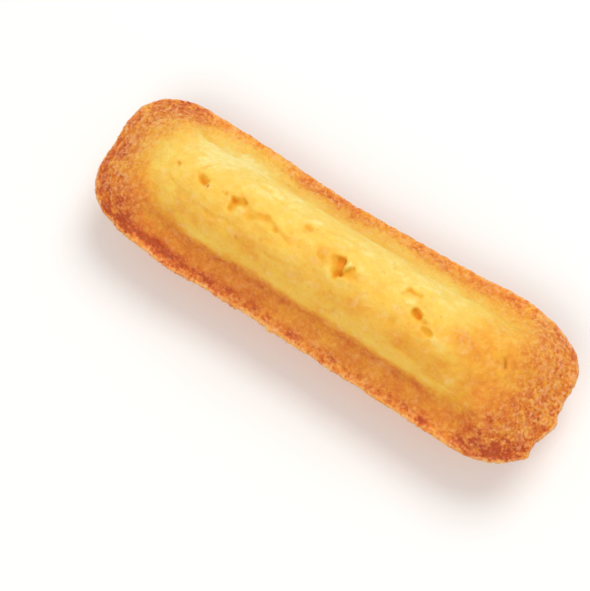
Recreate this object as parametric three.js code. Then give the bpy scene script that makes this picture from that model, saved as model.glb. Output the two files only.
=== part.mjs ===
// A long madeleine: a small butter cake baked in a shallow, boat-shaped, fluted mould.
// Millimetres, +Z up. +X runs along the cake, and the origin is under its middle, on the flat of the keel.

import * as THREE from "three";

// Driving sizes of the whole cake
const LENGTH = 105;
const WIDTH = 31.5;
const RIM_HEIGHT = 11.5; // keel to rim: the depth of the mould
const DOME_RISE = 14.5; // rim to crest at mid length

// Plan of the rim: long straight sides closed by blunt rounded ends
const END_RUN = 17.6; // how much of the length each rounded end takes
const END_BLUNTNESS = 2.9; // 2 is an ellipse, more is squarer
const END_FLARE = 0.02; // the plan widens by this share from the middle to the tips
const RIM_BOW = 1.1; // the rim lifts by this much from the middle to the tips

// Where the rim strays from that plan: each place pushes it out, or in where the push is negative
const RIM_STRAYS = [
  { x: -4, y: 15.7, reach: 15, push: -0.8 },
  { x: 34, y: 16, reach: 7, push: 0.8 },
  { x: -52, y: 8, reach: 7, push: 0.7 },
  { x: -52.5, y: -1, reach: 5, push: -0.5 },
  { x: -45, y: -14, reach: 7, push: -0.8 },
  { x: -27, y: -16, reach: 5, push: 0.6 },
  { x: 51, y: 10, reach: 3, push: 0.4 },
  { x: 52.5, y: 2.5, reach: 2.5, push: -0.4 },
  { x: 52.5, y: -1.8, reach: 1.5, push: 0.6 },
  { x: 52, y: -7, reach: 1.6, push: -0.5 },
  { x: 51, y: -9.5, reach: 1.5, push: 0.8 },
];

// The thin lip where the batter met the top of the mould
const LIP_THICKNESS = 1.1;
const LIP_REACH = 0.9; // how far it stands out past the fluted wall
const LIP_RIDGE = 0.35; // height of the crisp edge above the floor of the cove
const LIP_RIDGE_WIDTH = 1.1;

// The crown: on the long sides a browned cove rises from the lip to a break, and the dome swells out above.
// The dome's foot and the cove's inner edge are measured out from the spine, to the sides and to the tips.
const DOME_FOOT = { side: 10.4, end: 14 };
const COVE_EDGE = { side: 9.4, end: 9 };
const DOME_FULLNESS = 0.6; // 1 is a parabola, less is fuller
const COVE_RISE = 0.29; // height of the cove's inner edge, as a share of the crest's
const COVE_CURVE = 1.5; // how hollow the cove is: 1 is a straight slope
const NEAR_CREASE = 0.12; // rounding of the break on the -Y side, as a share of the crest's height
const FAR_CREASE = 0.4; // and on the +Y side, where it is softer
const BREAK_FADE = 0.55; // the break is gone where the way out from the spine leans this far to a tip

// The crest sinks towards the ends of the spine, and from there one slope with no break runs down to each tip
const CREST_DROP = 0.27; // share of the crest's height lost over the spine
const CREST_FLATNESS = 2.5; // 2 is a parabola, more keeps the middle flatter
const END_SLOPE = 0.47; // how steeply that slope leaves the spine, as a share of the fall
const END_CURVE = 1.8; // 2 is a parabola, less is straighter

// Slow lumps in the dome, as waves along and across it
const LUMP_HEIGHT = 0.45;
const LUMP_LENGTH = 19;
const LUMP_BREADTH = 15;
const LUMP_SKEW = 0.6; // how far the waves lean across the cake
const LUMPS_FULL = 0.35; // lumps are full height inside this share, and gone by the next
const LUMPS_GONE = 0.75;

// Pits and tears where steam broke through the crest, and softer dimples
const PITS = [
  { x: -29, y: 0, reach: 1.6, depth: 1 },
  { x: -21, y: -0.8, reach: 1.8, depth: 1.4 },
  { x: -6, y: 2.4, reach: 1.6, depth: 0.7 },
  { x: 3.2, y: -0.6, reach: 2.3, depth: 1.8 },
  { x: 17.4, y: 2.4, reach: 1.8, depth: 0.5 },
  { x: 20.4, y: -0.3, reach: 1.6, depth: 1.8 },
  { x: 39, y: 1.5, reach: 1.4, depth: 0.8 },
];

// The fluted underside, from the wall under the lip down to the keel
const FLUTES = 34;
const FLUTE_DEPTH = 0.9;
const FLUTE_FADE = 3; // the flutes keep their depth down the wall and fade out at the keel
const KEEL_SHARE = 0.26; // half width of the flat keel, as a share of the half width of the cake

// Fineness of the surface
const STEPS_PER_FLUTE = 6;
const CROWN_RINGS = 17;
const CROWN_CROWDING = 1.3; // above 1 the rings crowd towards the lip
const HULL_RINGS = 7;
const PLAN_DIVISIONS = 4000; // steps in which the rim's length is measured
const MERGE_STEP = 1e-4;

const { clamp, lerp, smoothstep } = THREE.MathUtils;
const HALF_LENGTH = LENGTH / 2;
const HALF_WIDTH = WIDTH / 2;
const SPINE_HALF = HALF_LENGTH - END_RUN;

// The rim's plan, from the tip at +X round the far side and back
class RimPlan extends THREE.Curve {
  getPoint(share, target = new THREE.Vector3()) {
    const quarters = share * 4;
    const quarter = Math.min(Math.floor(quarters), 3);
    const mirrored = quarter % 2 === 1;
    const along = mirrored ? 1 - (quarters - quarter) : quarters - quarter;
    const { x, y } = along < 0.5 ? endArc(along * Math.PI) : sideLine(2 - 2 * along);
    const flare = 1 + END_FLARE * (x / HALF_LENGTH) ** 2;
    const sideX = quarter === 0 || quarter === 3 ? 1 : -1;
    const sideY = quarter < 2 ? 1 : -1;
    return target.set(sideX * x, sideY * y * flare, 0);
  }
}

// A rounded end, from its tip at angle 0 to the long side at a quarter turn
function endArc(angle) {
  const power = 2 / END_BLUNTNESS;
  return {
    x: SPINE_HALF + END_RUN * Math.max(Math.cos(angle), 0) ** power,
    y: HALF_WIDTH * Math.sin(angle) ** power,
  };
}

// A straight side, from the middle of the length at share 0 to the end of the spine at share 1
function sideLine(share) {
  return { x: SPINE_HALF * share, y: HALF_WIDTH };
}

// The higher of two heights, with the crease between them rounded
function roundedMax(first, second, rounding) {
  const near = rounding > 0 ? Math.max(1 - Math.abs(first - second) / rounding, 0) : 0;
  return Math.max(first, second) + (near ** 3 * rounding) / 6;
}

// How far an edge round the end of the spine reaches in one direction, as blunt as the rim is
function reachOf(edge, outward) {
  const along = Math.abs(outward.x / edge.end) ** END_BLUNTNESS;
  const across = Math.abs(outward.y / edge.side) ** END_BLUNTNESS;
  return (along + across) ** (-1 / END_BLUNTNESS);
}

function bell(distance, reach) {
  return Math.exp(-((distance / reach) ** 2));
}

// One ray from the spine to the rim: the surface is worked out along these
function makeRay(plan, share) {
  const rim = plan.getPointAt(share);
  const foot = new THREE.Vector3(clamp(rim.x, -SPINE_HALF, SPINE_HALF), 0, 0);
  const outward = rim.clone().sub(foot).normalize();
  const stray = RIM_STRAYS.reduce(
    (sum, place) => sum + place.push * bell(Math.hypot(rim.x - place.x, rim.y - place.y), place.reach),
    0,
  );
  return {
    foot,
    outward,
    length: rim.distanceTo(foot),
    stray,
    lobe: Math.abs(Math.cos(Math.PI * FLUTES * share)),
    domeFoot: reachOf(DOME_FOOT, outward),
    coveEdge: reachOf(COVE_EDGE, outward),
    endward: Math.abs(outward.x),
    crease: lerp(NEAR_CREASE, FAR_CREASE, (1 + outward.y) / 2),
    crest: DOME_RISE * (1 - CREST_DROP * Math.abs(foot.x / SPINE_HALF) ** CREST_FLATNESS),
    bow: RIM_BOW * (rim.x / HALF_LENGTH) ** 2,
  };
}

// A point on a ray, at a share of its length, with the rim's straying fading out towards the spine
function alongRay(ray, share, inset = 0) {
  const distance = ray.length * share - inset + ray.stray * share * share;
  return ray.foot.clone().addScaledVector(ray.outward, distance);
}

// Height of the crown above the rim, as a share of the crest's height
function crownRise(ray, share) {
  const distance = share * ray.length;
  const fromLip = (ray.length - distance) / (ray.length - ray.coveEdge);
  const cove = COVE_RISE * Math.min(fromLip, 1) ** COVE_CURVE;
  const dome = Math.max(1 - (distance / ray.domeFoot) ** 2, 0) ** DOME_FULLNESS;
  const sideRise = roundedMax(cove, dome, ray.crease * (1 - share));
  const endRise = 1 - share ** END_CURVE;
  const endFall = END_SLOPE * share * (1 - share) * ray.endward;
  return lerp(sideRise, endRise, smoothstep(ray.endward, 0, BREAK_FADE)) - endFall;
}

function lumps(x, y) {
  const along = (2 * Math.PI * x) / LUMP_LENGTH;
  const across = (2 * Math.PI * y) / LUMP_BREADTH;
  return (LUMP_HEIGHT / 2) * (Math.sin(along + LUMP_SKEW * across) + Math.cos(LUMP_SKEW * along - across));
}

function pitting(x, y) {
  return PITS.reduce((sum, pit) => sum + pit.depth * bell(Math.hypot(x - pit.x, y - pit.y), pit.reach), 0);
}

function crownPoint(ray, share) {
  const point = alongRay(ray, share);
  const ridge = LIP_RIDGE * bell((1 - share) * ray.length, LIP_RIDGE_WIDTH);
  const onDome = 1 - smoothstep(share, LUMPS_FULL, LUMPS_GONE);
  const relief = onDome * lumps(point.x, point.y) - pitting(point.x, point.y);
  point.z = RIM_HEIGHT + ray.bow * share ** 2 + ray.crest * crownRise(ray, share) + ridge + relief;
  return point;
}

// The hull's section turns from the wall at turn 0 to the keel at turn 1
function hullPoint(ray, turn) {
  const angle = (turn * Math.PI) / 2;
  const share = KEEL_SHARE + (1 - KEEL_SHARE) * Math.cos(angle);
  const hollow = FLUTE_DEPTH * (1 - ray.lobe) * (1 - turn ** FLUTE_FADE);
  const point = alongRay(ray, share, (LIP_REACH + hollow * Math.cos(angle)) * (1 - turn));
  const wallTop = RIM_HEIGHT + ray.bow - LIP_THICKNESS;
  point.z = wallTop * (1 - Math.sin(angle)) + hollow * Math.sin(angle);
  return point;
}

// Rings of points from the crest, out over the crown, round the lip, down the hull and in over the keel
function makeRings(rays) {
  const rings = [];
  for (let step = CROWN_RINGS; step >= 0; step -= 1) {
    const share = 1 - (step / CROWN_RINGS) ** CROWN_CROWDING;
    rings.push(rays.map((ray) => crownPoint(ray, share)));
  }
  rings.push(
    rays.map((ray) => {
      const point = alongRay(ray, 1);
      point.z = RIM_HEIGHT + ray.bow - LIP_THICKNESS;
      return point;
    }),
  );
  for (let step = 0; step <= HULL_RINGS; step += 1) {
    rings.push(rays.map((ray) => hullPoint(ray, step / HULL_RINGS)));
  }
  rings.push(rays.map((ray) => ray.foot.clone()));
  return rings;
}

// Closes the rings into one skin: points that meet on the spine are shared, and collapsed triangles go
function skin(rings) {
  const positions = [];
  const indices = [];
  const known = new Map();
  const indexOf = (point) => {
    const key = point.toArray().map((value) => Math.round(value / MERGE_STEP)).join(" ");
    if (!known.has(key)) {
      known.set(key, positions.length / 3);
      positions.push(point.x, point.y, point.z);
    }
    return known.get(key);
  };
  const numbered = rings.map((ring) => ring.map(indexOf));
  const addTriangle = (a, b, c) => {
    if (a !== b && b !== c && c !== a) indices.push(a, b, c);
  };
  for (let row = 0; row + 1 < numbered.length; row += 1) {
    const inner = numbered[row];
    const outer = numbered[row + 1];
    inner.forEach((start, column) => {
      const next = (column + 1) % inner.length;
      addTriangle(start, outer[column], outer[next]);
      addTriangle(start, outer[next], inner[next]);
    });
  }
  const geometry = new THREE.BufferGeometry();
  geometry.setAttribute("position", new THREE.Float32BufferAttribute(positions, 3));
  geometry.setIndex(indices);
  geometry.computeVertexNormals();
  return geometry;
}

function makeCake() {
  const plan = new RimPlan();
  plan.arcLengthDivisions = PLAN_DIVISIONS;
  const steps = FLUTES * STEPS_PER_FLUTE;
  const rays = Array.from({ length: steps }, (_, step) => makeRay(plan, step / steps));
  const crust = new THREE.MeshStandardMaterial({ color: 0xe9a94c, roughness: 0.75, metalness: 0 });
  const cake = new THREE.Mesh(skin(makeRings(rays)), crust);
  cake.name = "cake";
  return cake;
}

const madeleine = new THREE.Group();
madeleine.add(makeCake());

export default madeleine;
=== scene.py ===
import math
from types import SimpleNamespace

import bpy
from mathutils import Matrix, Vector


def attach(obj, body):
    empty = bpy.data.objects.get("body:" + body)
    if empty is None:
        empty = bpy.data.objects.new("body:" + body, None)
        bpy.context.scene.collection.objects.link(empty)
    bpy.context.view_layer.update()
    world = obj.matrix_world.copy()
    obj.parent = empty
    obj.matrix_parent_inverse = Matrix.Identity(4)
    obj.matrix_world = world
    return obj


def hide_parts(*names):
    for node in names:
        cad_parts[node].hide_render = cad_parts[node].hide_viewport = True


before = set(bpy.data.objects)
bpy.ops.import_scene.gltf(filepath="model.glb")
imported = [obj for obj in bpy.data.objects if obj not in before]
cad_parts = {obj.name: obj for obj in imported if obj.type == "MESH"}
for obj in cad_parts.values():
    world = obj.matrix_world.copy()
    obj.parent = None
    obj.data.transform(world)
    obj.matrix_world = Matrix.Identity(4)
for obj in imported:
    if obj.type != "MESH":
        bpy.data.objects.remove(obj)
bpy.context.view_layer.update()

# Sizes of the cake in millimetres. The shape is worked out in these and scaled to metres at the end.
MM = 0.001
CAKE = {
    "Length": 105.0,
    "Width": 31.5,
    "Rim Height": 11.5,
    "Dome Rise": 14.5,
    # Plan of the rim
    "End Run": 17.6,
    "End Bluntness": 2.9,
    "End Flare": 0.02,
    "Rim Bow": 1.1,
    # The lip where the batter met the top of the mould
    "Lip Thickness": 1.1,
    "Lip Reach": 0.9,
    "Lip Ridge": 0.35,
    "Lip Ridge Width": 1.1,
    "Lip Roundness": 0.3,
    "Lip Raggedness": 0.7,
    "Lip Rag Size": 2.6,
    "Lip Nicks": 0.6,
    "Lip Nick Size": 0.9,
    "Lip Nick Threshold": 0.7,
    "Lip Waviness": 0.5,
    "Lip Wave Size": 2.0,
    "Lip Flake Size": 1.7,
    "Fray": 1.2,
    "Fray Middle": -8.0,
    "Fray Reach": 17.0,
    # The dome, and the cove between its foot and the lip
    "Dome Foot Side": 10.4,
    "Dome Foot End": 14.0,
    "Cove Edge Side": 9.4,
    "Cove Edge End": 9.0,
    "Dome Fullness": 0.6,
    "Cove Rise": 0.29,
    "Cove Curve": 1.5,
    "Near Crease": 0.12,
    "Far Crease": 0.4,
    "Crest Drop": 0.27,
    "Crest Flatness": 2.5,
    "End Slope": 0.47,
    "End Curve": 1.8,
    "Break Fade": 0.55,
    "Break Waver": 1.4,
    "Break Waver Size": 9.0,
    "Tear Warp": 1.2,
    "Tear Warp Size": 1.6,
    # Slow lumps in the dome
    "Lump Height": 0.45,
    "Lump Length": 19.0,
    "Lump Breadth": 15.0,
    "Lump Skew": 0.6,
    "Lumps Full": 0.35,
    "Lumps Gone": 0.75,
    # The fluted underside
    "Flutes": 34.0,
    "Flute Depth": 0.9,
    "Flute Fade": 3.0,
    "Keel Share": 0.26,
    # Crumb and crust relief
    "Swell Height": 0.7,
    "Swell Size": 6.0,
    "Crumb Height": 0.3,
    "Crumb Size": 1.7,
    "Wrinkle Height": 0.6,
    "Wrinkle Size": 2.0,
    "Wrinkle Stretch": 2.2,
    "Crease Depth": 0.2,
    "Crease Size": 7.0,
    "Crease Width": 0.035,
    "Grain Height": 0.6,
    "Seed": 4.0,
}

# Places where the rim strays from its plan: x, y, reach along, reach across, push outwards
RIM_STRAYS = [
    (-4, 15.7, 15, 15, -0.8),
    (34, 16, 7, 7, 0.8),
    (-52, 8, 7, 7, 0.7),
    (-52.5, -1, 5, 5, -0.5),
    (-45, -14, 7, 7, -0.8),
    (-27, -16, 5, 5, 0.6),
    (51, 10, 3, 3, 0.4),
    (52.5, 2.5, 2.5, 2.5, -0.4),
    (52.5, -1.8, 1.5, 1.5, 0.6),
    (52, -7, 1.6, 1.6, -0.5),
    (51, -9.5, 1.5, 1.5, 0.8),
]

# Tears where steam broke the crest, and dimples and flaps beside them: start, end, width to the left of the
# stroke and to the right of it, softness of the stroke's tips, depth. A negative depth is a raised flap.
TEARS = [
    ((-29.6, -0.2), (-28.2, -0.7), 0.9, 0.5, 0.5, 0.95),
    ((-30.4, 1.9), (-29.5, 3.1), 0.5, 0.5, 0.5, 0.25),
    ((-23.6, -0.2), (-23.4, -0.4), 0.4, 0.4, 0.35, 0.4),
    ((-21.6, -0.7), (-21.2, -2.2), 0.75, 0.45, 0.6, 0.65),
    ((-21.3, -0.5), (-19.3, 0.0), 0.4, 0.8, 0.6, 0.68),
    ((-19.7, -1.9), (-18.6, -1.9), 0.9, 0.9, 0.8, -0.4),
    ((-17.0, -1.9), (-13.9, -0.5), 1.0, 1.0, 0.8, 0.35),
    ((-13.5, 0.0), (-10.9, -1.5), 0.45, 0.6, 0.5, 0.25),
    ((-10.9, -1.5), (-7.1, -2.3), 0.45, 0.6, 0.5, 0.25),
    ((-6.2, 2.5), (-5.6, 2.3), 0.8, 0.8, 0.6, 0.5),
    ((-1.2, -1.0), (-0.5, -1.1), 0.8, 0.8, 0.7, 0.35),
    ((3.6, 0.3), (4.2, -1.9), 0.28, 1.5, 0.6, 0.95),
    ((4.1, -2.2), (3.6, -2.9), 0.45, 0.7, 0.5, 0.75),
    ((1.7, -0.1), (3.2, 0.5), 0.4, 1.1, 0.7, 0.3),
    ((4.5, -1.9), (5.8, -0.1), 0.25, 0.75, 0.35, 0.6),
    ((5.8, -1.3), (7.2, -1.1), 0.7, 0.8, 0.8, 0.25),
    ((4.8, -0.7), (5.1, 0.1), 0.5, 0.5, 0.5, -0.35),
    ((1.6, -3.0), (2.4, -3.7), 0.6, 0.6, 0.6, -0.25),
    ((17.8, 0.6), (18.8, 1.2), 0.9, 0.9, 0.9, -0.3),
    ((19.8, -0.1), (21.2, -0.8), 0.65, 0.75, 0.35, 1.3),
    ((21.4, -1.0), (22.6, -1.4), 0.3, 0.4, 0.4, 0.35),
    ((22.9, -2.3), (24.5, -2.6), 0.4, 0.5, 0.35, 0.55),
    ((16.1, 1.2), (17.1, 2.7), 0.6, 0.6, 0.5, 0.3),
    ((17.1, 2.7), (19.2, 3.0), 0.6, 0.6, 0.5, 0.35),
    ((16.7, -4.2), (17.2, -4.2), 0.9, 0.9, 0.7, 0.3),
    ((25.6, -3.0), (27.6, -3.4), 1.0, 1.0, 0.9, -0.3),
    ((38.8, 2.0), (39.5, 0.8), 0.5, 0.35, 0.4, 0.35),
    ((-35.7, 0.6), (-35.3, 0.1), 0.4, 0.4, 0.4, 0.3),
]

# Painted shade of pores, small holes that the form does not cut: x, y, reach along, reach across, darkness
PORE_SHADE_SPOTS = [
    (-27.4, -0.9, 0.22, 0.35, 1.0),
    (-17.3, -6.1, 0.3, 0.3, 0.4),
    (-5.7, -1.9, 0.35, 0.3, 0.12),
    (-1.6, -6.4, 0.35, 0.3, 0.15),
    (6.4, -7.6, 0.5, 0.4, 0.28),
    (-35.5, 0.5, 0.45, 0.35, 0.3),
    (38.9, 1.9, 0.35, 0.4, 0.6),
    (39.2, 1.4, 0.35, 0.4, 0.75),
    (39.5, 0.9, 0.35, 0.4, 0.6),
    (42.5, -8.6, 0.4, 0.3, 0.6),
    (12.0, 5.0, 0.35, 0.3, 0.25),
    (-12.5, -4.4, 0.35, 0.3, 0.15),
]

# The pores are on the crown only: heights at which they start and are full
PORE_HEIGHTS = (12.0, 14.0)

# Places that are browner, or paler where the amount is negative: x, y, reach along, reach across, amount. The
# paler spots along the far side, y 7 to 14 between x -30 and 21, are painted light over the shade of the
# dome's far fold
TOASTED = [
    (-39, -14, 5, 1.6, 0.3),
    (-31.4, -13.9, 3.8, 1.3, 0.36),
    (-42, -10.7, 5, 1.8, 0.1),
    (-24, -14.4, 4, 0.9, 0.24),
    (-15, -13.6, 2.2, 0.8, 0.16),
    (-10.5, -13.3, 4, 1.1, 0.12),
    (2, -14.4, 2, 0.6, 0.16),
    (-12, -11.3, 3, 1.5, 0.11),
    (24.7, -14.3, 1.2, 0.7, 0.18),
    (-33, -8.4, 5, 1.3, 0.13),
    (4, -9, 4, 0.8, 0.17),
    (31, -9.3, 5, 0.8, -0.13),
    (36, -8.5, 3, 1.0, -0.08),
    (-26, 2, 3.5, 1.5, 0.12),
    (-5.6, 2.2, 1.8, 1.2, 0.2),
    (0, 2, 3, 1.5, 0.08),
    (18, 2.2, 2, 1.2, 0.1),
    (6.5, -1.8, 2, 1.2, 0.18),
    (12, -2, 2.5, 1.5, 0.08),
    # Painted light: paler spots over the shade of the dome's far fold
    (-27, 10, 8, 1.3, -0.13),
    (21, 10, 5, 1.3, -0.13),
    (-25, 14, 8, 1.5, -0.14),
    (-37, 8.5, 3, 2, 0.07),
    (-47, -6.5, 3, 3.5, -0.11),
    (0, 6, 5, 4, 0.06),
    (-10, 10.5, 5, 2, 0.06),
    (0.2, -0.2, 3, 2, 0.1),
    (-30, 0.2, 2, 1.5, 0.18),
    (-20.5, -0.2, 2.5, 1.5, 0.16),
    (0.3, 0.2, 2.2, 1.2, 0.14),
    (30, 0.4, 3, 1.6, 0.25),
    (40.5, 3.5, 3, 2.5, 0.1),
    (-48, 0, 4, 7, -0.05),
    (-41, -6, 4, 4, 0.04),
    (47.5, -13.2, 3.2, 1.8, 0.18),
    (30.5, -14.8, 1.4, 0.7, 0.16),
    (-9, 13.8, 6, 1.8, 0.09),
    (5, 13, 6, 1.6, -0.09),
    (-28, 11.8, 9, 2.6, -0.13),
    (-43, 14, 6, 2.5, 0.18),
    (9.8, -5.7, 2.2, 1.8, 0.14),
    (19.8, -6.1, 3.6, 1.8, 0.16),
    (28, -6, 3, 1.8, 0.08),
    (-14, -6.3, 4, 2, 0.08),
    (-20.5, -7, 3, 1.6, 0.05),
    (-1, 10, 8, 2.5, 0.06),
    (39, -2, 7, 9, 0.2),
    (33, 3, 5, 9, 0.2),
    (44, 6, 5, 5, 0.08),
    (49, -5, 4, 5, -0.12),
    (-30, 7, 9, 3, -0.1),
    (33, 6, 4, 3, 0.05),
    (50, 6, 3, 5, -0.08),
    (-49.5, 10.5, 2.5, 2.5, -0.04),
    (45.5, 11.5, 3, 2.5, -0.05),
    (46, -15, 3, 1.0, 0.1),
    (-26.4, -7.6, 1.5, 1.0, 0.1),
    (0.5, -4, 2.5, 1.5, -0.07),
    (30.5, -4, 3, 1.5, -0.07),
    (-10.5, -8.2, 3, 1.0, 0.08),
    (29.5, -8, 3, 0.9, 0.07),
    (-10, 4.2, 4, 1.8, -0.05),
    (15, 4.2, 7, 1.8, -0.05),
    (-40.5, 7, 3, 4, 0.05),
    (-22, 13, 5, 1.5, -0.04),
]

# Amounts of browning, on a scale from 0 for the palest sponge to 1 for dark crust. The near fold's amount is
# a painted highlight, and the near flank's, foot's, crease's and band's amounts are partly painted shade
TOAST = {
    "sponge": 0.1,
    "near flank": 0.14,
    "near foot": 0.08,
    "near band": 0.36,
    "near fold": 0.04,
    "near crease": 0.08,
    "near lip": 0.06,
    "far band": 0.16,
    "far lip": 0.28,
    "end slope": 0.34,
    "end edge": 0.24,
    "pale lip": 0.5,
    "lip edge": 0.56,
    "lip flakes": 0.7,
    "wall": 0.04,
    "keel": 0.1,
}

# Amounts of coarseness of the grain, on a scale from 0 to 1
GRIT = {"dome": 0.12, "near band": 0.3, "near lip": 0.5, "far band": 0.55, "far lip": 0.3, "wall": 0.35}

# Start and end of each change over the long sides, in millimetres out from the spine
NEAR_BREAK = (8.8, 10.0)
NEAR_LIP = (12.5, 14.6)
FAR_BREAK = (8.4, 10.4)
FAR_LIP = (10.5, 14.6)
NEAR_GRIT = (9.0, 9.8)
FAR_GRIT = (9.0, 12.0)
LIP_GRIT = (12.6, 14.6)
# Stripes along the near side: middle and reach, in millimetres out from the spine. The fold's stripe is a
# painted highlight on the dome's rounded foot, and the crease's stripe under it is browning and painted shade
NEAR_FOLD_HIGHLIGHT = (8.6, 0.5)
NEAR_CREASE_SHADE_AND_BROWNING = (10.0, 0.8)
# The dome's near flank: start and end in y, and the middle and reach of its browner foot. The flank and foot
# are darker partly by browning and partly as painted shade
NEAR_FLANK_SHADE_AND_BROWNING = (-4.5, 3.5)
NEAR_FOOT_SHADE_AND_BROWNING = (-6.0, 1.8)
# How far the near break blurs at the ends, inwards and outwards
BREAK_BLUR = (4, 2)
# From the near side's look to the far side's, by how far a ray turns to the far side
NEAR_TO_FAR = (0.3, 0.7)
# The ends: start and end along x, by how far a ray turns to the tip, and in shares of the way to the rim
END_BROWNING = (26.0, 42.0)
END_MOTTLE = (28.0, 36.0)
END_TURN = (0.0, 0.85)
END_SLOPE = (0.12, 0.62)
END_EDGE = (0.5, 0.92)
END_GRIT = (0.1, 0.8)
# The lip's browned patches, in millimetres in from its edge
LIP_PATCHES = (1.2, 2.6)
# Share of the way to the rim from which the crown's edge is wavy and ragged
LIP_STARTS = 0.9

# Shares of the way from the lip's edge to the middle of the keel at which each stretch ends
LIP_EDGE_ENDS = 0.12
LIP_UNDERSIDE_ENDS = 0.16
WALL_ENDS = 0.88
# Start and end of the changes of colour and grain on that way
WALL_COLOUR = (0.06, 0.2)
WALL_GRIT = (0.02, 0.2)
WALL_SKIN = (0.02, 0.16)
KEEL_COLOUR = (0.6, 1.0)
# Millimetres that the whole way counts as for the lip's pale flakes, so that they reach well down its edge
FLAKE_RUN = 6

# Each noise of the form has a seed of its own, counted from the tree's seed
FORM_SEEDS = {
    "Lip Rag": 0,
    "Lip Wave": 1,
    "Tear Warp": 2,
    "Swell": 3,
    "Crumb": 4,
    "Lip Nick": 5,
    "Wrinkle": 6,
    "Crease": 7,
    "Break Waver": 8,
    "Lip Flake": 9,
}

# Noises of the crust: size of the lumps in millimetres, seed, and strength of the finer lumps in them. The
# grain is the same in the form and in the colour, so that raised grains are the pale ones: partly paler
# grains, partly a painted highlight on their tops.
SPECKLES = {
    "blotch": (5.0, 12.0, 0.5),
    "mottle": (1.8, 11.0, 0.5),
    "grain": (0.75, 9.0, 0.55),
    "fine": (0.33, 10.0, 0.6),
    "cream": (1.7, 14.0, 0.6),
    "flake": (1.3, 15.0, 0.6),
    "lip patch": (1.7, 13.0, 0.6),
    "lip chip": (0.9, 16.0, 0.6),
}
CRYSTAL_SIZE = 0.55
PINHOLE_SPACING = 3.2
PINHOLE_EDGE = (0.08, 0.32)
BUMP_DEPTH = 0.4
# Browning from which crust counts as browned, and at which it does so fully
BROWNED = (0.6, 0.92)

# Colours as seen on a screen: the crust by how brown it is, then what lies on it and where it is torn
TOAST_COLOURS = [
    (0.0, (253, 228, 142)),
    (0.1, (250, 213, 104)),
    (0.2, (249, 204, 89)),
    (0.35, (246, 188, 70)),
    (0.5, (240, 165, 50)),
    (0.65, (230, 140, 40)),
    (0.8, (217, 112, 31)),
    (0.92, (201, 89, 20)),
    (1.0, (188, 73, 11)),
]
CREAM = (252, 212, 150)
EGG_YELLOW = (246, 200, 52)
PALE_GRAIN_AND_HIGHLIGHT = (240, 174, 124)
# Raised grains: partly their own paler colour, partly a painted highlight
PALE_FLAKE = (236, 160, 112)
PALE_LIP = (244, 186, 122)
# The lip's pale edge: partly its own colour, partly a painted glow of light through the thin crust
RAISED_FLAP = (252, 228, 155)
# The tears' orange is the torn crumb's colour and partly a painted warm glow and shade; the darker tint
# deeper in is painted shade
TORN_EDGE = (237, 173, 36)
TORN_DEPTH_AND_SHADE = (230, 144, 12)
# Painted shade in pores and pinholes
PORE_SHADE = (202, 98, 0)
PINHOLE_SHADE = (222, 146, 44)

# Steps of the mesh: round the cake, out over the crown, down the hull, and along the path of the rim. The
# crown's steps crowd towards the lip.
ROUND_STEPS = 720
CROWN_STEPS = 80
HULL_STEPS = 50
RIM_PATH_STEPS = 1600
CROWN_CROWDING = 1.15
# Points closer than this, in millimetres, become one point of the closed skin
SEAM_GAP = 0.002


class Flow:
    """An output in a node tree, or with no socket the tree itself. Arithmetic on it adds the node for it."""

    def __init__(self, tree, socket=None):
        self.tree = tree
        self.socket = socket

    def node(self, kind, settings=None, sockets=None, out=0):
        """Adds a node of any type: first its settings, then the values or links of its sockets."""
        made = self.tree.nodes.new(kind)
        for name, value in (settings or {}).items():
            if name == "stops":
                set_stops(made.color_ramp, value)
            else:
                setattr(made, name, value)
        for name, value in (sockets or {}).items():
            self.plug(made.inputs[name], value)
        return Flow(self.tree, made.outputs[out] if made.outputs else None)

    def plug(self, socket, value):
        """Links a flow to a socket, or sets its value. A plain number fills all of a vector."""
        if isinstance(value, Flow):
            self.tree.links.new(value.socket, socket)
        elif socket.type == "VECTOR" and not hasattr(value, "__len__"):
            socket.default_value = (value, value, value)
        else:
            socket.default_value = value

    def sum_of(self, operation, *terms):
        """A sum on numbers, or on vectors where any term is one."""
        wide = any(is_wide(term) for term in terms)
        kind = "ShaderNodeVectorMath" if wide else "ShaderNodeMath"
        return self.node(kind, {"operation": operation}, dict(enumerate(terms)))

    def __add__(self, other):
        return self.sum_of("ADD", self, other)

    def __radd__(self, other):
        return self.sum_of("ADD", other, self)

    def __sub__(self, other):
        return self.sum_of("SUBTRACT", self, other)

    def __rsub__(self, other):
        return self.sum_of("SUBTRACT", other, self)

    def __mul__(self, other):
        return self.sum_of("MULTIPLY", self, other)

    def __rmul__(self, other):
        return self.sum_of("MULTIPLY", other, self)

    def __truediv__(self, other):
        return self.sum_of("DIVIDE", self, other)

    def __rtruediv__(self, other):
        return self.sum_of("DIVIDE", other, self)

    def __pow__(self, other):
        return self.sum_of("POWER", self, other)

    def __neg__(self):
        return self.sum_of("MULTIPLY", self, -1.0)

    def __abs__(self):
        return self.sum_of("ABSOLUTE", self)


def is_wide(term):
    """True for a vector or a colour, whether a flow or plain numbers."""
    if isinstance(term, Flow):
        return term.socket.type in ("VECTOR", "RGBA")
    return hasattr(term, "__len__")


def set_stops(ramp, stops):
    """Fills a ramp from pairs of place and colour."""
    while len(ramp.elements) > 1:
        ramp.elements.remove(ramp.elements[-1])
    for number, (place, colour) in enumerate(stops):
        stop = ramp.elements[0] if number == 0 else ramp.elements.new(place)
        stop.position = place
        stop.color = (*colour, 1.0)


def sine(angle):
    return angle.sum_of("SINE", angle)


def cosine(angle):
    return angle.sum_of("COSINE", angle)


def sign(value):
    return value.sum_of("SIGN", value)


def lower(value, cap):
    return value.sum_of("MINIMUM", value, cap)


def higher(value, floor):
    return value.sum_of("MAXIMUM", value, floor)


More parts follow.
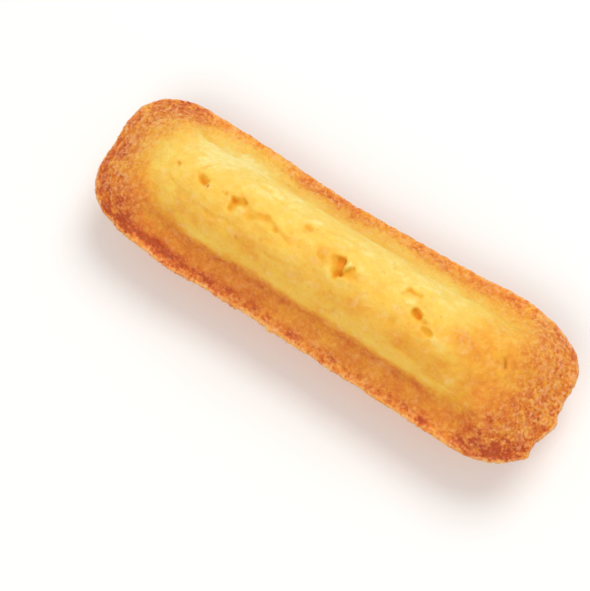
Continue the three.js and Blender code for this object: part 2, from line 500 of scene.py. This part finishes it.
def bell(squares):
    """1 where the sum of squares is 0, falling off round it."""
    return squares.sum_of("EXPONENT", -squares)


def stripe(value, middle, reach):
    """1 where the value is at the middle, falling off to both sides of it."""
    return bell(((value - middle) / reach) ** 2)


def between(value, start, end, smooth=True):
    """0 before the start, 1 after the end, and a slope between. The start may be the larger number."""
    way = "SMOOTHSTEP" if smooth else "LINEAR"
    sockets = {"Value": value, "From Min": start, "From Max": end}
    return value.node("ShaderNodeMapRange", {"interpolation_type": way, "clamp": True}, sockets)


def blend(start, end, share):
    """Plain numbers or flows, from start at share 0 to end at share 1."""
    return start + (end - start) * share


def tint(colour, shade, share):
    """The colour at share 0, and a screen colour in its place at share 1."""
    settings = {"data_type": "RGBA", "blend_type": "MIX", "clamp_factor": True}
    # By number, because the node has sockets of the same names for other types of data
    sides = {0: share, 6: colour, 7: (*from_screen(*shade), 1.0)}
    return share.node("ShaderNodeMix", settings, sides, 2)


def noise(place, size, seed=0.0, detail=2.0, rough=0.5, colour=False):
    """Cloudy noise with lumps of a given size, from 0 to 1 with its middle at a half."""
    sockets = {"Vector": place, "W": seed, "Scale": 1.0 / size, "Detail": detail, "Roughness": rough}
    return place.node("ShaderNodeTexNoise", {"noise_dimensions": "4D"}, sockets, 1 if colour else 0)


def form_noise(place, cake, name, detail=2.0, rough=0.5, colour=False):
    """A noise of the form, with its middle at 0. Its size is an input of the tree."""
    seed = cake["Seed"] + FORM_SEEDS[name]
    return noise(place, cake[name + " Size"], seed, detail, rough, colour) - 0.5


def speckle(place, name):
    """A noise of the crust, with its middle at 0."""
    size, seed, rough = SPECKLES[name]
    return noise(place, size, seed, rough=rough) - 0.5


def split(vector):
    """The three numbers of a vector."""
    parted = vector.node("ShaderNodeSeparateXYZ", None, {0: vector})
    outputs = parted.socket.node.outputs
    return [Flow(vector.tree, output) for output in outputs]


def join(x, y, z):
    """A vector from three numbers, at least one of them a flow."""
    flow = next(part for part in (x, y, z) if isinstance(part, Flow))
    return flow.node("ShaderNodeCombineXYZ", None, {0: x, 1: y, 2: z})


def spots(x, y, places):
    """Adds up bells at the places: x, y, reach along, reach across, height."""
    total = 0.0
    for spot_x, spot_y, along, across, height in places:
        total = total + bell(((x - spot_x) / along) ** 2 + ((y - spot_y) / across) ** 2) * height
    return total


def torn(x, y):
    """How deep the tears go at a place, in millimetres."""
    total = 0.0
    for (start_x, start_y), (end_x, end_y), left, right, tip, depth in TEARS:
        run = math.hypot(end_x - start_x, end_y - start_y)
        way_x, way_y = (end_x - start_x) / run, (end_y - start_y) / run
        along = (x - start_x) * way_x + (y - start_y) * way_y
        across = (y - start_y) * way_x - (x - start_x) * way_y
        past = higher(abs(along - run / 2) - run / 2, 0.0)
        on_left = between(across, -0.1, 0.1, smooth=False)
        width = right + (left - right) * on_left
        total = total + bell((across / width) ** 2 + (past / tip) ** 2) * depth
    return total


def rim_path(bench, cake):
    """The rim's plan as a closed path, from the tip at +X round the far side and back."""
    steps = {"Resolution": RIM_PATH_STEPS}
    circle = bench.node("GeometryNodeCurvePrimitiveCircle", {"mode": "RADIUS"}, steps)
    turn = bench.node("GeometryNodeInputIndex") / RIM_PATH_STEPS
    along = turn.sum_of("PINGPONG", turn * 4, 1.0)
    angle = lower(along, 0.5) * math.pi
    power = 2 / cake["End Bluntness"]
    half_length = cake["Length"] / 2
    spine_half = half_length - cake["End Run"]
    x = spine_half * lower(2 - along * 2, 1.0) + cake["End Run"] * higher(cosine(angle), 0.0) ** power
    y = cake["Width"] / 2 * sine(angle) ** power * (1 + cake["End Flare"] * (x / half_length) ** 2)
    place = join(x * sign(cosine(turn * (2 * math.pi))), y * sign(sine(turn * (2 * math.pi))), 0.0)
    return bench.node("GeometryNodeSetPosition", None, {"Geometry": circle, "Position": place})


def edge_reach(ray, cake, side, end):
    """How far out an edge round the spine lies along a ray. It is as blunt at the ends as the rim."""
    blunt = cake["End Bluntness"]
    along = abs(ray.out_x / cake[end]) ** blunt
    across = abs(ray.out_y / cake[side]) ** blunt
    return (along + across) ** (-1 / blunt)


def ray_to_rim(cake, path, turn):
    """The lines from the spine to the rim along which the surface is worked out."""
    sample = {"Curves": path, "Factor": turn}
    rim = turn.node("GeometryNodeSampleCurve", {"mode": "FACTOR"}, sample, "Position")
    rim_x, rim_y, _ = split(rim)
    half_length = cake["Length"] / 2
    spine_half = half_length - cake["End Run"]
    foot_x = lower(higher(rim_x, -spine_half), spine_half)
    run_x = rim_x - foot_x
    ray = SimpleNamespace(rim=rim, foot_x=foot_x)
    ray.length = (run_x**2 + rim_y**2) ** 0.5
    ray.out_x = run_x / ray.length
    ray.out_y = rim_y / ray.length
    ray.endward = abs(ray.out_x)
    ray.round_end = between(ray.endward, 0.0, cake["Break Fade"])
    ray.farward = (1 + ray.out_y) / 2
    ray.stray = spots(rim_x, rim_y, RIM_STRAYS)
    ray.bow = cake["Rim Bow"] * (rim_x / half_length) ** 2
    ray.lobe = abs(cosine(turn * cake["Flutes"] * math.pi))
    crest_fall = cake["Crest Drop"] * abs(foot_x / spine_half) ** cake["Crest Flatness"]
    ray.crest = cake["Dome Rise"] * (1 - crest_fall)
    ray.dome_foot = edge_reach(ray, cake, "Dome Foot Side", "Dome Foot End")
    ray.cove_edge = edge_reach(ray, cake, "Cove Edge Side", "Cove Edge End")
    ray.crease = blend(cake["Near Crease"], cake["Far Crease"], ray.farward)
    # The lip is ragged all round, most of all along the near side's left half
    frayed = stripe(rim_x, cake["Fray Middle"], cake["Fray Reach"]) * (1 - ray.farward)
    ray.frayed = 1 + cake["Fray"] * frayed
    rag = form_noise(rim, cake, "Lip Rag", 3.0, 0.65) * cake["Lip Raggedness"] * ray.frayed
    nicked = ray.frayed - cake["Lip Nick Threshold"]
    ray.rag = rag + form_noise(rim, cake, "Lip Nick", 1.0) * cake["Lip Nicks"] * nicked
    ray.waver = form_noise(rim, cake, "Break Waver", 1.0) * cake["Break Waver"]
    ray.wave = form_noise(rim, cake, "Lip Wave", 2.0, 0.6) * cake["Lip Waviness"] * ray.frayed
    ray.flake = form_noise(rim, cake, "Lip Flake", 2.0, 0.6)
    return ray


def along_ray(ray, share, inset=0.0, edge=0.0):
    """A place on a ray at a share of its length, in x and y. The rim's straying fades towards the spine."""
    distance = ray.length * share - inset + ray.stray * share**2 + ray.rag * edge
    return ray.foot_x + ray.out_x * distance, ray.out_y * distance


def crown_rise(cake, ray, share):
    """Height of the crown above the rim, as a share of the crest's height."""
    distance = share * ray.length
    from_lip = (ray.length - distance) / (ray.length - ray.cove_edge)
    cove = cake["Cove Rise"] * lower(from_lip, 1.0) ** cake["Cove Curve"]
    dome = higher(1 - ((distance + ray.waver * share) / ray.dome_foot) ** 2, 0.0) ** cake["Dome Fullness"]
    side = cove.sum_of("SMOOTH_MAX", cove, dome, ray.crease * (1 - share))
    end = 1 - share ** cake["End Curve"]
    fall = cake["End Slope"] * share * (1 - share) * ray.endward
    return blend(side, end, ray.round_end) - fall


def lumps(cake, x, y):
    """Slow lumps of the dome, up and down from its form."""
    along = x * (2 * math.pi) / cake["Lump Length"]
    across = y * (2 * math.pi) / cake["Lump Breadth"]
    skew = cake["Lump Skew"]
    return cake["Lump Height"] / 2 * (sine(along + skew * across) + cosine(skew * along - across))


def grid_of(bench, steps):
    """A sheet of steps round the cake by steps outwards, with both shares from 0 to 1."""
    sockets = {"Size X": 1.0, "Size Y": 1.0, "Vertices X": ROUND_STEPS + 1, "Vertices Y": steps + 1}
    sheet = bench.node("GeometryNodeMeshGrid", None, sockets)
    across, out, _ = split(bench.node("GeometryNodeInputPosition"))
    return sheet, across + 0.5, out + 0.5


def keep(sheet, name, value):
    """Stores a value on the sheet's points, for the crust to read."""
    settings = {"data_type": "FLOAT", "domain": "POINT"}
    sockets = {"Geometry": sheet, "Name": name, "Value": value}
    return sheet.node("GeometryNodeStoreNamedAttribute", settings, sockets)


def crown_toast(ray, share, x, y):
    """How brown the crown is: 0 is the palest sponge and 1 is dark crust."""
    distance = share * ray.length + ray.waver * share
    ends = between(abs(x), *END_BROWNING)
    # The dome is palest behind its crest, and warmer and darker down its near flank: partly browning, partly
    # painted shade
    dome = TOAST["sponge"] + TOAST["near flank"] * (1 - between(y, *NEAR_FLANK_SHADE_AND_BROWNING))
    dome = dome + TOAST["near foot"] * stripe(y, *NEAR_FOOT_SHADE_AND_BROWNING) * (1 - ends)
    # Near side: a painted highlight on the fold over the break, a dark crease under it that is browning and
    # painted shade, then a lighter band to the lip, browner than the far band and partly painted shade. The
    # break blurs towards the ends.
    break_starts = NEAR_BREAK[0] - ends * BREAK_BLUR[0]
    break_ends = NEAR_BREAK[1] + ends * BREAK_BLUR[1]
    band = between(distance, break_starts, break_ends) * TOAST["near band"]
    # Painted highlight along the fold, and browning with painted shade in the crease
    fold = stripe(distance, *NEAR_FOLD_HIGHLIGHT) * TOAST["near fold"] * (1 - ends)
    crease = stripe(distance, *NEAR_CREASE_SHADE_AND_BROWNING) * TOAST["near crease"] * (1 - ends)
    near = band - fold + crease + between(distance, *NEAR_LIP) * TOAST["near lip"]
    # Far side: a paler band that the dome runs into softly, and a browner lip
    far = between(distance, *FAR_BREAK) * TOAST["far band"] + between(distance, *FAR_LIP) * TOAST["far lip"]
    side = blend(near, far, between(ray.farward, *NEAR_TO_FAR))
    end = between(share, *END_SLOPE) * TOAST["end slope"] + between(share, *END_EDGE) * TOAST["end edge"]
    toast = dome + blend(side, end, between(ray.endward, *END_TURN)) + spots(x, y, TOASTED)
    # The lip browned in patches, the near side's most of all
    on_lip = 1 - between((1 - share) * ray.length, *LIP_PATCHES)
    patch = speckle(join(x, y, 0.0), "lip patch") + 0.03 * (1 - ray.farward)
    return toast + patch * on_lip * (0.8 - 0.4 * ray.farward)


def pale_lip(ray, from_edge, x, y):
    """Where the thin edge of the lip is pale: in broken flakes, widest where the lip is frayed. The paleness
    is partly the crust's own and partly painted light, the glow of light through the thin edge.
    """
    chip = speckle(join(x, y, from_edge), "lip chip")
    edge = 1 - between(from_edge + chip * 1.4, 0.05 * ray.frayed, 0.32 * ray.frayed)
    return edge * between(ray.flake + chip * 0.6 - 0.12 * (ray.frayed - 1), 0.12, -0.12)


def crown_grit(ray, share):
    """How coarse the crust's grain is: fine on the dome, coarser on the bands, coarsest at the ends."""
    distance = share * ray.length
    on_lip = between(distance, *LIP_GRIT)
    near = between(distance, *NEAR_GRIT) * GRIT["near band"] + on_lip * GRIT["near lip"]
    far = between(distance, *FAR_GRIT) * GRIT["far band"] + on_lip * GRIT["far lip"]
    side = blend(near, far, ray.farward)
    end = between(share, *END_GRIT)
    return GRIT["dome"] + (1 - GRIT["dome"]) * blend(side, end, between(ray.endward, *END_TURN))


def crown_sheet(bench, cake, path):
    """The top of the cake, from the spine out to the lip."""
    sheet, turn, out = grid_of(bench, CROWN_STEPS)
    share = 1 - (1 - out) ** CROWN_CROWDING
    ray = ray_to_rim(cake, path, turn)
    edge = between(share, LIP_STARTS, 1.0)
    x, y = along_ray(ray, share, edge=edge)
    from_edge = (1 - share) * ray.length
    ridge = cake["Lip Ridge"] * bell((from_edge / cake["Lip Ridge Width"]) ** 2)
    on_dome = 1 - between(share, cake["Lumps Full"], cake["Lumps Gone"])
    warp = form_noise(join(x, y, 0.0), cake, "Tear Warp", 2.0, 0.6, colour=True) * cake["Tear Warp"]
    warp_x, warp_y, _ = split(warp)
    tear = torn(x + warp_x, y + warp_y)
    z = cake["Rim Height"] + ray.bow * share**2 + ray.crest * crown_rise(cake, ray, share)
    z = z + ridge + ray.wave * edge + on_dome * lumps(cake, x, y) - tear
    pale = pale_lip(ray, from_edge, x, y)
    sheet = keep(sheet, "toast", blend(crown_toast(ray, share, x, y), TOAST["pale lip"], pale))
    sheet = keep(sheet, "pale", pale)
    sheet = keep(sheet, "grit", crown_grit(ray, share))
    sheet = keep(sheet, "tear", tear)
    sheet = keep(sheet, "under", 0.0)
    sheet = keep(sheet, "valley", 0.0)
    return bench.node("GeometryNodeSetPosition", None, {"Geometry": sheet, "Position": join(x, y, z)})


def hull_sheet(bench, cake, path):
    """The lip's edge, the fluted wall under it and the keel."""
    sheet, turn, down = grid_of(bench, HULL_STEPS)
    ray = ray_to_rim(cake, path, turn)
    lip_turn = between(down, 0.0, LIP_EDGE_ENDS, smooth=False)
    lip_under = between(down, LIP_EDGE_ENDS, LIP_UNDERSIDE_ENDS, smooth=False)
    wall_turn = between(down, LIP_UNDERSIDE_ENDS, WALL_ENDS, smooth=False)
    keel_in = between(down, WALL_ENDS, 1.0, smooth=False)
    angle = wall_turn * (math.pi / 2)
    share = (cake["Keel Share"] + (1 - cake["Keel Share"]) * cosine(angle)) * (1 - keel_in)
    valley = (1 - ray.lobe) * (1 - wall_turn ** cake["Flute Fade"])
    hollow = cake["Flute Depth"] * valley
    bulge = cake["Lip Roundness"] * sine(lip_turn * math.pi)
    inset = (cake["Lip Reach"] + hollow * cosine(angle)) * (1 - wall_turn) * lip_under - bulge
    x, y = along_ray(ray, share, inset, (1 - wall_turn) ** 2)
    # The lip's underside rises and falls half as much as its top
    half_wave = ray.wave * 0.5
    wall_top = cake["Rim Height"] + ray.bow - cake["Lip Thickness"] + half_wave * (1 - wall_turn)
    lip_height = cake["Lip Thickness"] + cake["Lip Ridge"] + half_wave
    z = wall_top * (1 - sine(angle)) + hollow * sine(angle) + lip_height * (1 - lip_turn)
    on_wall = between(down, *WALL_COLOUR)
    toast = TOAST["lip edge"] + TOAST["wall"] * on_wall + TOAST["keel"] * between(down, *KEEL_COLOUR)
    sheet = keep(sheet, "toast", toast + ray.flake * TOAST["lip flakes"] * (1 - on_wall))
    sheet = keep(sheet, "pale", pale_lip(ray, down * FLAKE_RUN, x, y))
    sheet = keep(sheet, "grit", blend(1, GRIT["wall"], between(down, *WALL_GRIT)))
    sheet = keep(sheet, "tear", 0.0)
    sheet = keep(sheet, "under", between(down, *WALL_SKIN))
    sheet = keep(sheet, "valley", valley * lip_under)
    return bench.node("GeometryNodeSetPosition", None, {"Geometry": sheet, "Position": join(x, y, z)})


def stored(bench, name):
    """A value that was kept on the sheets' points."""
    return bench.node("GeometryNodeInputNamedAttribute", {"data_type": "FLOAT"}, {"Name": name})


def roughen(bench, cake, skin):
    """Pushes the skin in and out along its normals: slow swells, wrinkles and creases where it is soft, fine
    crumb, and grain on the browned crust. The slow relief is kept for the crust's colour, which paints shade
    into its hollows and light onto its swells."""
    place = bench.node("GeometryNodeInputPosition")
    outward = bench.node("GeometryNodeInputNormal")
    grit = stored(bench, "grit")
    under = stored(bench, "under")
    x, y, z = split(place)
    stretched = join(x / cake["Wrinkle Stretch"], y, z)
    swell = form_noise(place, cake, "Swell", 1.0) * cake["Swell Height"]
    wrinkle = form_noise(stretched, cake, "Wrinkle") * cake["Wrinkle Height"]
    wander = form_noise(stretched, cake, "Crease")
    crease = bell((wander / cake["Crease Width"]) ** 2) * cake["Crease Depth"]
    # The wall took the mould's shape, so it is smoother than the crown
    slow = (swell + (wrinkle - crease) * (1 - grit)) * (1 - under * 0.8)
    crumb = form_noise(place, cake, "Crumb", 3.0, 0.6) * cake["Crumb Height"]
    grain = speckle(place, "grain") * cake["Grain Height"]
    skin = keep(skin, "relief", slow)
    push = slow + crumb + grain * grit
    rough = bench.node("GeometryNodeSetPosition", None, {"Geometry": skin, "Offset": outward * push})
    # Nothing goes below the table
    settled = join(x, y, higher(z, 0.0))
    return bench.node("GeometryNodeSetPosition", None, {"Geometry": rough, "Position": settled})


def size_inputs(tree, sizes):
    """Gives a tree one named input for each size, and returns them by name."""
    for name, amount in sizes.items():
        socket = tree.interface.new_socket(name, in_out="INPUT", socket_type="NodeSocketFloat")
        socket.default_value = amount
    start = tree.nodes.new("NodeGroupInput")
    return {name: Flow(tree, start.outputs[name]) for name in sizes}


def cake_tree(crust):
    """The whole cake as one closed skin, in metres."""
    tree = bpy.data.node_groups.new("madeleine_form", "GeometryNodeTree")
    cake = size_inputs(tree, CAKE)
    tree.interface.new_socket("Geometry", in_out="OUTPUT", socket_type="NodeSocketGeometry")
    bench = Flow(tree)
    path = rim_path(bench, cake)
    crown = crown_sheet(bench, cake, path)
    hull = hull_sheet(bench, cake, path)
    skin = bench.node("GeometryNodeJoinGeometry", None, {0: crown})
    tree.links.new(hull.socket, skin.socket.node.inputs[0])
    skin = bench.node("GeometryNodeMergeByDistance", None, {"Geometry": skin, "Distance": SEAM_GAP})
    skin = bench.node("GeometryNodeFlipFaces", None, {0: skin})
    skin = roughen(bench, cake, skin)
    skin = bench.node("GeometryNodeSetShadeSmooth", None, {0: skin, "Shade Smooth": True})
    skin = bench.node("GeometryNodeTransform", None, {"Geometry": skin, "Scale": (MM, MM, MM)})
    skin = bench.node("GeometryNodeRealizeInstances", None, {0: skin})
    skin = bench.node("GeometryNodeSetMaterial", None, {"Geometry": skin, "Material": crust})
    bench.node("NodeGroupOutput", None, {0: skin})
    return tree


def set_form(piece, tree, sizes):
    """Runs the tree on a piece and leaves a plain mesh of its own."""
    form = piece.modifiers.new("form", "NODES")
    form.node_group = tree
    for item in tree.interface.items_tree:
        if item.in_out == "INPUT" and item.name in sizes:
            form[item.identifier] = sizes[item.name]
    evaluated = piece.evaluated_get(bpy.context.evaluated_depsgraph_get())
    mesh = bpy.data.meshes.new_from_object(evaluated)
    piece.modifiers.remove(form)
    piece.data = mesh


def from_screen(red, green, blue):
    """A colour as seen on a screen, 0 to 255, in the linear values that a shader takes."""
    def linear(value):
        value = value / 255
        return value / 12.92 if value <= 0.04045 else ((value + 0.055) / 1.055) ** 2.4
    return (linear(red), linear(green), linear(blue))


def crust_marks(bench):
    """What the crust is worked out from: what the form stored on its points, and the crust's noises."""
    marks = SimpleNamespace(place=bench.node("ShaderNodeTexCoord", None, None, "Object") * (1 / MM))
    for name in ("toast", "pale", "grit", "tear", "valley", "relief"):
        setattr(marks, name, bench.node("ShaderNodeAttribute", {"attribute_name": name}, None, "Fac"))
    for name in ("blotch", "mottle", "grain", "fine", "cream", "flake"):
        setattr(marks, name, speckle(marks.place, name))
    # Sugar and crumb that caught at the crust, each grain with a tone of its own
    crystals = {"Vector": marks.place + (marks.fine * 0.4), "Scale": 1 / CRYSTAL_SIZE}
    shade, _, _ = split(bench.node("ShaderNodeTexVoronoi", None, crystals, "Color"))
    marks.crystal = shade - 0.5
    # Pinholes of burst bubbles: dented by the bump, and darkened in colour as painted shade
    bubbles = {"Vector": marks.place, "Scale": 1 / PINHOLE_SPACING}
    from_pinhole = bench.node("ShaderNodeTexVoronoi", None, bubbles) * PINHOLE_SPACING
    marks.pinhole = 1 - between(from_pinhole, *PINHOLE_EDGE)
    marks.browned = between(marks.toast, *BROWNED)
    marks.coarse = marks.grit**2
    return marks


def crust_tone(marks):
    """How brown each speck of the crust is. Mottling and grain are strongest where the crust is coarse. The
    relief's hollows and the flutes' valleys are darker and its swells paler, partly as painted shade and
    light.
    """
    x, _, _ = split(marks.place)
    shoulder = between(abs(x), *END_MOTTLE) * (1 - marks.browned)
    flap = 1 - between(marks.tear, -0.3, 0.0)
    tone = marks.toast + marks.blotch * 0.3
    tone = tone + marks.mottle * (0.24 + 0.35 * marks.browned + 0.1 * shoulder + 0.4 * marks.coarse)
    # Painted shade in the relief's hollows and painted light on its swells; the flutes' valleys are darker,
    # partly browner and partly painted shade
    tone = tone + marks.valley * 0.22 - marks.relief * 0.3 - flap * 0.1
    # Raised grains paler: partly their own colour, partly a painted highlight
    tone = tone - marks.grain * (0.14 + 0.62 * marks.coarse)
    tone = tone - marks.fine * (0.12 + 0.3 * marks.coarse)
    return tone - marks.crystal * (0.04 + 0.2 * marks.coarse)


def crust_colour(bench, marks):
    """The crust's tone as a colour, then the tints of what lies on it and of where it is torn, with painted
    shade in the tears, pores and pinholes and a painted highlight on raised grains.
    """
    stops = [(tone, from_screen(*shade)) for tone, shade in TOAST_COLOURS]
    colour = bench.node("ShaderNodeValToRGB", {"stops": stops}, {"Fac": crust_tone(marks)})
    grit, grain, fine, crystal, tear = marks.grit, marks.grain, marks.fine, marks.crystal, marks.tear
    creamy = between(marks.cream, 0.02, 0.26) * higher(0.48 - 0.8 * grit, 0.0)
    eggy = between(-marks.cream, 0.02, 0.26) * (0.45 - 0.45 * grit)
    raised_grain_and_highlight = between(grain * 0.8 + fine * 0.35 + crystal * 0.4, 0.02, 0.24)
    raised_grain_and_highlight = raised_grain_and_highlight * (0.2 * grit + 0.55 * marks.coarse) * (0.95 - 0.75 * marks.browned)
    flakes = between(marks.flake, 0.0, 0.2) * between(grit, 0.4, 1.0) * (0.42 - 0.3 * marks.browned)
    lip_flakes = between(grain + fine * 0.6 + crystal * 0.4, -0.2, 0.15)
    x, y, z = split(marks.place)
    on_crown = between(z, *PORE_HEIGHTS)
    tints = [
        (CREAM, creamy),
        (EGG_YELLOW, eggy),
        # Partly a painted highlight on raised grains
        (PALE_GRAIN_AND_HIGHLIGHT, raised_grain_and_highlight),
        (PALE_FLAKE, flakes),
        (PALE_LIP, marks.pale * (0.25 + 0.6 * lip_flakes)),
        (RAISED_FLAP, between(-tear, 0.0, 0.5) * 0.4),
        # Tears: the crumb's orange, partly a painted warm glow and shade, and painted shade deeper in
        (TORN_EDGE, between(tear, 0.0, 0.45) * 0.9),
        (TORN_DEPTH_AND_SHADE, between(tear, 0.4, 1.0) * 0.9),
        # Painted shade in the pores and pinholes
        (PORE_SHADE, spots(x, y, PORE_SHADE_SPOTS) * on_crown),
        (PINHOLE_SHADE, marks.pinhole * 0.4),
    ]
    for shade, share in tints:
        colour = tint(colour, shade, share)
    return colour


def crust_relief(bench, marks):
    """Relief finer than the mesh: grain and crystals on the coarse crust, fine crumb, pinholes."""
    height = marks.grain * (0.25 + marks.grit * 0.75) + marks.fine * 0.5 + marks.mottle * 0.3
    height = height + marks.crystal * marks.grit * 0.3 - marks.pinhole * 0.2
    sockets = {"Strength": 0.8, "Distance": BUMP_DEPTH * MM, "Height": height}
    return bench.node("ShaderNodeBump", None, sockets)


def crust_finish():
    """Baked sponge: pale yellow on the dome, through gold and orange to reddish brown grain at the edges."""
    material = bpy.data.materials.new("madeleine_crust")
    material.use_nodes = True
    tree = material.node_tree
    tree.nodes.clear()
    bench = Flow(tree)
    marks = crust_marks(bench)
    sockets = {
        "Base Color": crust_colour(bench, marks),
        # Butter makes the coarse crust shine a little
        "Roughness": 0.72 - marks.grit * 0.27 - marks.grain * 0.3,
        "Normal": crust_relief(bench, marks),
        "Specular IOR Level": 0.35,
        "Subsurface Weight": 0.5,
        "Subsurface Radius": (2.0, 0.8, 0.25),
        "Subsurface Scale": MM,
    }
    shader = bench.node("ShaderNodeBsdfPrincipled", None, sockets)
    bench.node("ShaderNodeOutputMaterial", None, {"Surface": shader})
    return material


def bake_cake():
    """The whole cake as one piece, in place of the solid."""
    piece = bpy.data.objects.new("madeleine_cake", bpy.data.meshes.new("madeleine_start"))
    bpy.context.scene.collection.objects.link(piece)
    set_form(piece, cake_tree(crust_finish()), CAKE)
    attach(piece, "root")
    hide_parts("cake")


def lay_floor():
    """A plain white table top under the cake."""
    half = 1.5
    below = -0.0002
    corners = [(-half, -half, below), (half, -half, below), (half, half, below), (-half, half, below)]
    mesh = bpy.data.meshes.new("table_top")
    mesh.from_pydata(corners, [], [(0, 1, 2, 3)])
    floor = bpy.data.objects.new("table_top", mesh)
    bpy.context.scene.collection.objects.link(floor)
    material = bpy.data.materials.new("white_table")
    material.use_nodes = True
    shader = material.node_tree.nodes["Principled BSDF"]
    shader.inputs["Base Color"].default_value = (0.95, 0.95, 0.95, 1.0)
    shader.inputs["Roughness"].default_value = 0.8
    mesh.materials.append(material)


def add_lamp(name, place, size, power, colour):
    """A round soft lamp that points at the cake."""
    data = bpy.data.lights.new(name, "AREA")
    data.shape = "DISK"
    data.size = size
    data.energy = power
    data.color = colour
    lamp = bpy.data.objects.new(name, data)
    lamp.location = place
    cake_middle = Vector((0, 0, 0.01))
    lamp.rotation_euler = (cake_middle - Vector(place)).to_track_quat("-Z", "Y").to_euler()
    bpy.context.scene.collection.objects.link(lamp)


def light_studio():
    """Two high soft lamps, one behind the cake and one before it, and bright surroundings."""
    add_lamp("back_lamp", (0.0, 0.34, 0.5), size=0.4, power=1.9, colour=(1.0, 0.98, 0.95))
    add_lamp("front_lamp", (0.02, -0.36, 0.5), size=0.45, power=1.4, colour=(1.0, 0.97, 0.92))
    world = bpy.data.worlds.new("bright_room")
    world.use_nodes = True
    surround = world.node_tree.nodes["Background"]
    surround.inputs["Color"].default_value = (1.0, 1.0, 1.0, 1.0)
    surround.inputs["Strength"].default_value = 0.45
    bpy.context.scene.world = world
    bpy.context.scene.view_settings.view_transform = "Standard"


def set_camera():
    """The photograph's view: from above the near side, a little to the right."""
    place = Vector((0.0458, -0.0636, 0.2657))
    look = Vector((-0.1849, 0.2126, -0.9595)).normalized()
    upright = Vector((-0.5277, 0.8022, 0.2795))
    right = look.cross(upright).normalized()
    up = right.cross(look)
    data = bpy.data.cameras.new("photo_camera")
    data.sensor_fit = "HORIZONTAL"
    data.sensor_width = 36.0
    data.lens = 81.2
    data.clip_start = 0.01
    camera = bpy.data.objects.new("photo_camera", data)
    camera.matrix_world = Matrix.Translation(place) @ Matrix((right, up, -look)).transposed().to_4x4()
    bpy.context.scene.collection.objects.link(camera)
    bpy.context.scene.camera = camera


bake_cake()
lay_floor()
light_studio()
set_camera()
